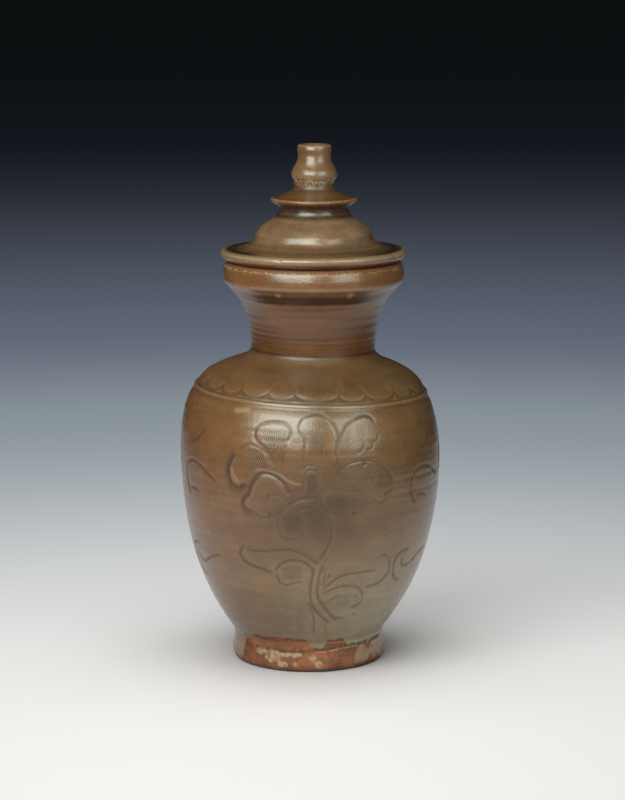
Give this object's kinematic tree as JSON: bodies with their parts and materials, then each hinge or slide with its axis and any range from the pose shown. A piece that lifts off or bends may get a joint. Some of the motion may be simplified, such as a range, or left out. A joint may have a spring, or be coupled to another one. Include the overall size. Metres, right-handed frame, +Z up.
{
  "type": "covered vase",
  "caption": "Wheel-thrown ovoid stoneware vase with a raised foot ring, short waisted neck and dished mouth, closed by a lift-off domed cover with a brim and a stepped knob.",
  "frame": {"origin": "centre of the foot ring's resting face", "axes": "+Z up along the axis the vase was thrown on, from the foot to the knob; -Y towards the viewer of the picture; +X to the right in the picture"},
  "size_m": [0.1512, 0.1512, 0.3],
  "materials": {
    "brown_glaze": "gloss",
    "cover_glaze": "gloss",
    "bare_clay": "matte"
  },
  "bodies": {
    "vase": {"foot_ring": "bare_clay", "vase_body": "brown_glaze", "neck": "brown_glaze", "mouth_ring": "brown_glaze"},
    "cover": {"cover_shell": "cover_glaze", "cover_collar": "bare_clay", "finial_saucer": "cover_glaze", "finial_knob": "cover_glaze"}
  },
  "joints": [
    {"name": "cover_lift", "type": "slide", "parent": "vase", "child": "cover", "axis": [0, 0, 1], "range_m": [0, 0.15]}
  ]
}
